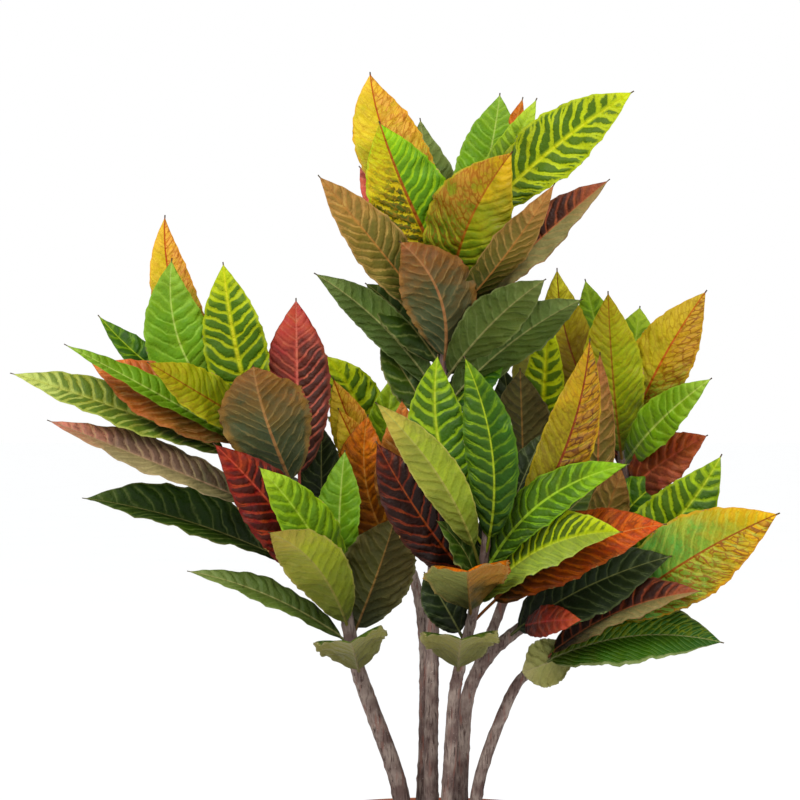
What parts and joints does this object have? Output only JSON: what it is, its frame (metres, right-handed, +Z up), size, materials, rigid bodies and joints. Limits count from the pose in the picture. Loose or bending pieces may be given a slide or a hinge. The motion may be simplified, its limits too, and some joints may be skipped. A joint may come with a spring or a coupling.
{
  "type": "potted croton",
  "caption": "Leafy house plant: branching stems with broad, waved, variegated leaves, standing in soil in a plain tapered round pot.",
  "frame": {"origin": "centre of the pot's flat base, on the surface that it stands on", "axes": "+Z up along the pot's axis; -Y towards the front that the picture shows; +X to the right"},
  "size_m": [0.7572, 0.4302, 0.9481],
  "materials": {
    "pot": "unglazed fired clay, matt",
    "soil": "dark, loose, granular potting soil",
    "foliage": "leathery leaves in green, yellow, orange and dark red with pale veins, half gloss; grey-brown bark"
  },
  "bodies": {
    "root": {"pot": "pot", "soil": "soil", "stem_left": "foliage", "stem_centre": "foliage", "stem_front": "foliage", "stem_right": "foliage", "stem_low": "foliage", "stem_back_left": "foliage", "stem_back_right": "foliage"}
  },
  "joints": []
}
